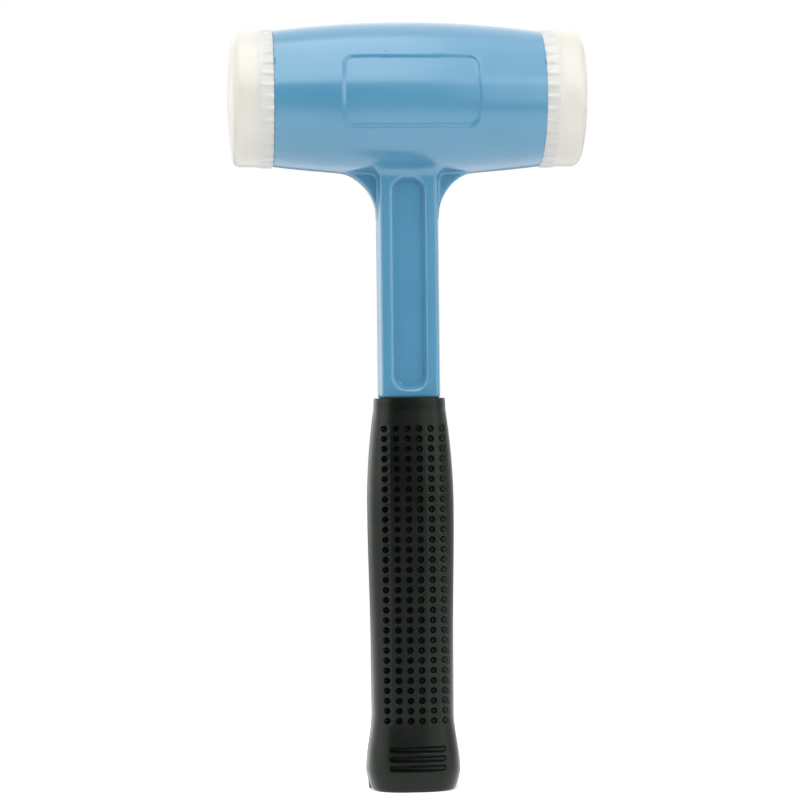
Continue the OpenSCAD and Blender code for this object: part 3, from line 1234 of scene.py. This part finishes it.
    def raise_parting(self, sheet: BMesh) -> None:
        """Raises the fine ridge that the mould's two halves leave on each side, and the fin of flash on one.

        Args:
            sheet: the flat sheet.
        """
        for turn in (0, 1):
            along = self.front_to + self.side_span / 2 + turn * self.half_turn
            for vert in sheet.verts:
                if abs(vert.co.x - along) < self.seam_reach and vert.co.y < self.lip_foot:
                    ridge = self.ridge * smooth_step(0.0, self.ridge_rise, vert.co.y)
                    vert.co.z = max(ridge, self.flash(vert.co.y)) if turn else ridge

    def flash(self, z: float) -> float:
        """How far the fin of rubber on the left seam stands out near the butt.

        Args:
            z: the height.

        Returns:
            The distance, which is 0 where there is no fin.
        """
        if not self.flash_foot < z < self.flare_z:
            return 0.0
        edge = self.flare.width / 2 - self.flash_lean * (self.flare_z - z)
        return max(edge - self.section(z).width / 2, 0.0)

    def close_ends(self, skin: BMesh) -> None:
        """Closes the butt, and lines the pocket that holds the tang.

        Args:
            skin: the wrapped mesh.
        """
        butt = boundary(skin, lambda point: point.z < self.length / 2)
        butt = drawn_on(skin, butt, drawn_in(self.butt_share, 0.0))
        bmesh.ops.contextual_create(skin, geom=butt)
        mouth = boundary(skin, lambda point: point.z > self.length / 2)
        mouth = drawn_on(skin, mouth, drawn_in(self.mouth_share, self.length))
        mouth = drawn_on(skin, mouth, self.pocket_edge)
        mouth = drawn_on(skin, mouth, drawn_in(1.0, self.pocket_foot))
        bmesh.ops.contextual_create(skin, geom=mouth)

    def pocket_edge(self, point: Vector) -> Vector:
        """Finds the point of the pocket's edge in the direction of a point of the mouth.

        Args:
            point: the point of the mouth.

        Returns:
            The point of the edge.
        """
        power = self.pocket_power
        aside, away = abs(2 * point.x / self.pocket_w), abs(2 * point.y / self.pocket_depth)
        reach = (aside ** power + away ** power) ** (1 / power)
        return Vector((point.x / reach, point.y / reach, self.length))

    def build(self) -> Object:
        """Makes the grip.

        Returns:
            The piece.
        """
        sheet = self.flat_sheet()
        self.sink(sheet)
        self.raise_parting(sheet)
        for vert in sheet.verts:
            vert.co = self.wrapped(vert.co)
        bmesh.ops.remove_doubles(sheet, verts=sheet.verts, dist=MERGE)
        self.close_ends(sheet)
        return finished(sheet, "dimpled_grip", self.finish, "hammer", [self.node], self.crease)


@dataclass
class EndPiece:
    """A turned piece at one end of the head. It is modelled along X, with the barrel's end at 0."""

    finish: Finish
    side: Side
    axis_z: float
    end_x: float

    @staticmethod
    def spun(profile: Iterable[tuple[float, float]], **settings: object) -> BMesh:
        """Spins a profile about X.

        Args:
            profile: the points of the profile, as radii and places along X.
            settings: the angle, the steps and other settings of the spin.

        Returns:
            The spun shape.
        """
        shape = bmesh.new()
        verts = [shape.verts.new((along, 0.0, radius)) for radius, along in profile]
        edges = [shape.edges.new(pair) for pair in zip(verts, verts[1:])]
        bmesh.ops.spin(shape, geom=[*verts, *edges], axis=(1, 0, 0), cent=(0, 0, 0), **settings)
        return shape

    def set_on_end(self, shape: BMesh) -> None:
        """Moves a shape to its end of the barrel, pointing outward.

        Args:
            shape: the shape.
        """
        turn = Matrix.Rotation(0.0 if self.side is Side.RIGHT else math.pi, 4, "Z")
        place = Matrix.Translation((self.side.value * self.end_x, 0, self.axis_z)) @ turn
        bmesh.ops.transform(shape, matrix=place, verts=shape.verts)


@dataclass
class StrikingFace(EndPiece):
    """A nylon face with a domed front, a rounded edge and a fluted rim for turning it by hand."""

    height: float = 16.4 * MM
    face_r: float = 24.6 * MM
    rim_r: float = 25.1 * MM
    rim_len: float = 4.0 * MM
    rim_taper: float = 2.2 * MM
    rim_gap: float = 0.1 * MM
    seat_r: float = 21.0 * MM
    edge_r: float = 3.0 * MM
    dome_h: float = 1.6 * MM
    dome_steps: int = 10
    edge_steps: int = 9
    side_steps: int = 4
    rim_steps: int = 12
    back_round: tuple = ((0.05 * MM, 0.12 * MM), (0.25 * MM, 0.0))
    seat_bevel: float = 0.2 * MM
    flutes: int = 36
    flute_steps: int = 12
    flute_floor: float = 2.5 * MM
    flute_slope: float = 0.9
    flute_depth: float = 0.8 * MM
    flute_len: float = 5.6 * MM
    flute_from_r: float = 22 * MM
    pocket_r: float = 10.05 * MM
    pocket_len: float = 11.05 * MM
    bore_r: float = 6.05 * MM
    bore_len: float = 12.8 * MM
    crease: float = 35.0

    def outline(self) -> list[tuple[float, float]]:
        """The face's outline from the middle of its dome to the end of its bore.

        Returns:
            Points of radius and distance from the barrel's end.
        """
        edge_mid = self.face_r - self.edge_r
        dome_r = (edge_mid ** 2 + self.dome_h ** 2) / (2 * self.dome_h)
        dome_mid = self.height - dome_r
        tilt = math.degrees(math.asin(edge_mid / (dome_r - self.edge_r)))
        edge_z = dome_mid + (dome_r - self.edge_r) * math.cos(math.radians(tilt))
        dome = arc((0.0, dome_mid), dome_r, 90, 90 - tilt, self.dome_steps)
        edge = arc((edge_mid, edge_z), self.edge_r, 90 - tilt, 0, self.edge_steps)[1:]
        taper_top = self.rim_gap + self.rim_len + self.rim_taper
        fall, drop = taper_top - edge_z, taper_top - self.rim_gap
        smooth = [(self.face_r, edge_z + fall * i / self.side_steps) for i in range(1, self.side_steps)]
        rim = [self.rim_point(taper_top - drop * i / self.rim_steps) for i in range(self.rim_steps)]
        back = [
            *((self.rim_r - inward, self.rim_gap + rise) for inward, rise in self.back_round),
            (self.seat_r + self.seat_bevel, self.rim_gap),
            (self.seat_r, 0.0),
            (self.pocket_r, 0.0),
            (self.pocket_r, self.pocket_len),
            (self.bore_r, self.pocket_len),
            (self.bore_r, self.bore_len),
            (0.0, self.bore_len),
        ]
        return [*dome, *edge, *smooth, *rim, *back]

    def rim_point(self, rise: float) -> tuple[float, float]:
        """A point of the rim, which swells gently from the smooth part.

        Args:
            rise: the distance from the barrel's end.

        Returns:
            Its radius and that distance.
        """
        foot = self.rim_gap + self.rim_len
        share = smooth_step(foot + self.rim_taper, foot, rise)
        return (self.face_r + (self.rim_r - self.face_r) * share, rise)

    def flute(self, vert: BMVert) -> None:
        """Cuts a vertex of the rim back to its flute.

        Args:
            vert: the vertex, about an axis on X, with the barrel's end at 0.
        """
        radius = math.hypot(vert.co.y, vert.co.z)
        run = (vert.co.x - self.rim_gap) / self.flute_len
        if radius < self.flute_from_r or run > 1:
            return
        step = math.tau / self.flutes
        angle = math.atan2(vert.co.z, vert.co.y)
        aside = self.rim_r * ((angle + step / 2) % step - step / 2)
        floor = self.rim_r - self.flute_depth * (1 - max(run, 0.0))
        cut = floor + self.flute_slope * max(abs(aside) - self.flute_floor / 2, 0.0)
        scale = min(1.0, cut / radius)
        vert.co.y *= scale
        vert.co.z *= scale

    def build(self) -> Object:
        """Makes the face.

        Returns:
            The piece.
        """
        steps = self.flutes * self.flute_steps
        shape = self.spun(self.outline(), angle=math.tau, steps=steps, use_merge=True)
        bmesh.ops.remove_doubles(shape, verts=shape.verts, dist=MERGE)
        for vert in shape.verts:
            self.flute(vert)
        self.set_on_end(shape)
        word = self.side.word
        nodes = [f"{word}_face"]
        return finished(shape, f"{word}_striking_face", self.finish, f"{word}_tip", nodes, self.crease)


@dataclass
class ThreadedStud(EndPiece):
    """The steel stud that a face screws on, with its whole thread.

    The ridge is one turn of the thread, as shares of its depth and of its pitch.
    """

    radius: float = 6.0 * MM
    pitch: float = 1.75 * MM
    thread_depth: float = 1.0 * MM
    ridge: tuple = ((0, 0.0), (0, 0.12), (1, 0.44), (1, 0.56), (0, 0.88), (0, 1.0))
    spare_turns: int = 2
    inside: float = 22 * MM
    outside: float = 12 * MM
    chamfer: float = 1.2 * MM
    turn_steps: int = 28
    seam: float = 0.02 * MM
    crease: float = 40.0

    def build(self) -> Object:
        """Makes the stud.

        Returns:
            The piece.
        """
        depth, pitch = self.thread_depth, self.pitch
        root, start = self.radius - depth, -self.inside - pitch
        turns = math.ceil((self.inside + self.outside) / pitch) + self.spare_turns
        profile = [(root + rise * depth, start + along * pitch) for rise, along in self.ridge]
        advance = (pitch / self.turn_steps, 0, 0)
        shape = self.spun(profile, angle=math.tau * turns, dvec=advance, steps=self.turn_steps * turns)
        bmesh.ops.remove_doubles(shape, verts=shape.verts, dist=self.seam)
        for end, way in ((-self.inside, -1), (self.outside, 1)):
            cut_off(shape, (end, 0, 0), (way, 0, 0))
            self.bevel_end(shape, end)
            rim = boundary(shape, lambda point: abs(point.x - end) < self.seam)
            bmesh.ops.contextual_create(shape, geom=rim)
        self.set_on_end(shape)
        word = self.side.word
        nodes = [f"{word}_stud"]
        return finished(shape, f"{word}_threaded_stud", self.finish, "hammer", nodes, self.crease)

    def bevel_end(self, shape: BMesh, end: float) -> None:
        """Brings the thread within the cone of the chamfer at one end.

        Args:
            shape: the stud along X.
            end: where it ends.
        """
        for vert in shape.verts:
            allowed = self.radius - self.chamfer + abs(vert.co.x - end)
            radius = math.hypot(vert.co.y, vert.co.z)
            if radius > allowed:
                vert.co.y *= allowed / radius
                vert.co.z *= allowed / radius


@dataclass(frozen=True)
class Softbox:
    """A rectangular lamp that looks at the hammer's middle from a direction."""

    name: str
    azimuth: float
    elevation: float
    distance: float
    width: float
    height: float
    radiance: float
    slide: float = 0.0

    def build(self, target: Vector) -> Object:
        """Makes the lamp.

        Args:
            target: the point that it looks at before it is slid sideways.

        Returns:
            The lamp.
        """
        light = bpy.data.lights.new(self.name, "AREA")
        light.shape = "RECTANGLE"
        light.size = self.width
        light.size_y = self.height
        light.energy = self.radiance * math.pi * self.width * self.height
        lamp = linked(self.name, light)
        around, up = math.radians(self.azimuth), math.radians(self.elevation)
        out = Vector((math.sin(around) * math.cos(up), -math.cos(around) * math.cos(up), math.sin(up)))
        facing = (-out).to_track_quat("-Z", "Y")
        lamp.rotation_mode = "QUATERNION"
        lamp.rotation_quaternion = facing
        lamp.location = target + out * self.distance + facing @ Vector((self.slide, 0, 0))
        return lamp


@dataclass
class Studio:
    """The camera, the pale floor, the dark card, the bright surroundings and the soft lamps."""

    yaw: float = 4.85
    pitch: float = -0.30
    roll: float = -0.64
    aim: Vector = Vector((0, 0, 140 * MM))
    camera_place: Vector = Vector((-3.36 * MM, -917 * MM, 1.51 * MM))
    lens: float = 112.94
    sensor: float = 36.0
    clip_start: float = 0.05
    floor_size: float = 6.0
    floor_cells: int = 4
    ambient: float = 0.15
    floor_tone: float = 0.9
    floor_glow: float = 0.5
    # Painted reflection: the floor glows for mirror rays alone, with these strengths near the hammer and far
    # from it.
    floor_near_sheen: float = 2.0
    floor_far_sheen: float = 0.3
    sheen_from: tuple = (0.25, 0.8)
    card_w: float = 3.0
    card_h: float = 0.72
    card_back: float = 1.5
    card_tone: float = 0.1
    white_from: tuple = (0.15, 0.5)
    lamps: tuple = (
        Softbox("overhead", 0, 62, 1.2, 0.66, 1.87, 2.75, slide=-0.17),
        Softbox("overhead_right", 0, 62, 1.2, 0.6, 1.87, 1.05, slide=0.46),
        Softbox("right_panel", 45, 10, 1.1, 1.3, 0.9, 1.75),
        Softbox("rear_panel", 180, 52, 1.2, 1.8, 1.2, 0.5),
        Softbox("left_panel", -118, 12, 1.1, 2.0, 1.3, 0.7),
        Softbox("left_front", -70, 8, 1.1, 0.8, 1.3, 1.4),
    )

    def camera(self) -> None:
        """Sets the camera at the viewing angle."""
        turn = (Matrix.Rotation(math.radians(self.roll), 3, "Y")
                @ Matrix.Rotation(math.radians(self.pitch), 3, "X")
                @ Matrix.Rotation(math.radians(self.yaw), 3, "Z"))
        back = turn.transposed()
        look = Matrix((back.col[0], back.col[2], -back.col[1])).transposed()
        data = bpy.data.cameras.new("view")
        data.lens = self.lens
        data.sensor_width = self.sensor
        data.clip_start = self.clip_start
        camera = linked("view", data)
        camera.matrix_world = Matrix.Translation(back @ self.camera_place + self.aim) @ look.to_4x4()
        bpy.context.scene.camera = camera

    @staticmethod
    def staged(name: str, shape: BMesh) -> Bench:
        """Makes an object of the stage.

        Args:
            name: its name.
            shape: its shape, which is freed.

        Returns:
            The bench of its material, which is still empty.
        """
        thing = object_of(shape, name)
        material = bpy.data.materials.new(f"{name}_surface")
        material.use_nodes = True
        material.node_tree.nodes.clear()
        thing.data.materials.append(material)
        return Bench(material.node_tree)

    def floor(self) -> None:
        """Lays a white floor that keeps the hammer's shadow, and that glows for mirror rays alone, brighter
        near the hammer, as painted reflection.
        """
        shape = bmesh.new()
        cells = {"x_segments": self.floor_cells, "y_segments": self.floor_cells}
        bmesh.ops.create_grid(shape, **cells, size=self.floor_size / 2)
        bench = self.staged("floor", shape)
        matt = bench.add("ShaderNodeBsdfDiffuse", None, {"Color": grey(self.floor_tone)})
        near = bench.add("ShaderNodeAddShader", None, {0: matt, 1: bench.lit(self.floor_glow)})
        away = bench.add("ShaderNodeVectorMath", {"operation": "LENGTH"}, {0: bench.place()}, "Value")
        look = bench.blend(away.band(*self.white_from), near, bench.lit(1.0))
        # Painted reflection: a glow that only mirror rays see, strong near the hammer and weak far off.
        mirror_glows = bench.lit(self.floor_near_sheen), bench.lit(self.floor_far_sheen)
        sheen = bench.blend(away.band(*self.sheen_from), *mirror_glows)
        unseen = bench.blend(bench.rays("Is Glossy Ray"), matt, sheen)
        surface = bench.blend(bench.rays("Is Camera Ray"), unseen, look)
        bench.add("ShaderNodeOutputMaterial", None, {"Surface": surface})

    def dark_card(self) -> None:
        """Stands a card behind the camera. The hammer's front mirrors it dark, and a camera sees it white."""
        half = self.card_w / 2
        corners = [(-half, 0.0), (half, 0.0), (half, self.card_h), (-half, self.card_h)]
        shape = bmesh.new()
        shape.faces.new([shape.verts.new((x, -self.card_back, z)) for x, z in corners])
        bench = self.staged("dark_card", shape)
        dark = bench.add("ShaderNodeBsdfDiffuse", None, {"Color": grey(self.card_tone)})
        surface = bench.blend(bench.rays("Is Camera Ray"), dark, bench.lit(1.0))
        bench.add("ShaderNodeOutputMaterial", None, {"Surface": surface})

    def surroundings(self) -> None:
        """Makes the world white to look at and in mirrors, and dimmer as a light."""
        world = bpy.data.worlds.new("surroundings")
        bpy.context.scene.world = world
        world.use_nodes = True
        world.node_tree.nodes.clear()
        bench = Bench(world.node_tree)
        dim = bench.add("ShaderNodeBackground", None, {"Color": grey(1), "Strength": self.ambient})
        white = bench.add("ShaderNodeBackground", None, {"Color": grey(1), "Strength": 1.0})
        seen = bench.rays("Is Camera Ray").at_least(bench.rays("Is Glossy Ray"))
        surface = bench.blend(seen, dim, white)
        bench.add("ShaderNodeOutputWorld", None, {"Surface": surface})

    def build(self) -> None:
        """Sets up the studio."""
        bpy.context.scene.view_settings.view_transform = "Standard"
        self.camera()
        self.floor()
        self.dark_card()
        self.surroundings()
        for lamp in self.lamps:
            lamp.build(self.aim)


def main() -> None:
    """Builds the hammer's pieces and the studio in order."""
    logging.basicConfig(level=logging.INFO, format="%(name)s: %(message)s")
    turns = {joint["name"]: Vector(joint["pos_m"]) for joint in frame["joints"] if joint["type"] == "hinge"}
    head_end = turns["right_face_turn"]
    grip_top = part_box("grip")[1].z
    Studio().build()
    Casting(Enamel(), head_end.z, head_end.x, grip_top).build()
    Grip(Rubber(), grip_top).build()
    nylon, steel, brass = Nylon(end_x=head_end.x), Steel(), Brass(axis_z=head_end.z)
    for side in Side:
        StrikingFace(nylon, side, head_end.z, head_end.x).build()
        ThreadedStud(steel, side, head_end.z, head_end.x).build()
        insert = frame["nodes"][f"{side.word}_insert"]
        brass.dress(insert)
        LOG.info("%s: %d faces, kept as the solid", insert.name, len(insert.data.polygons))


if __name__ == "__main__":
    main()
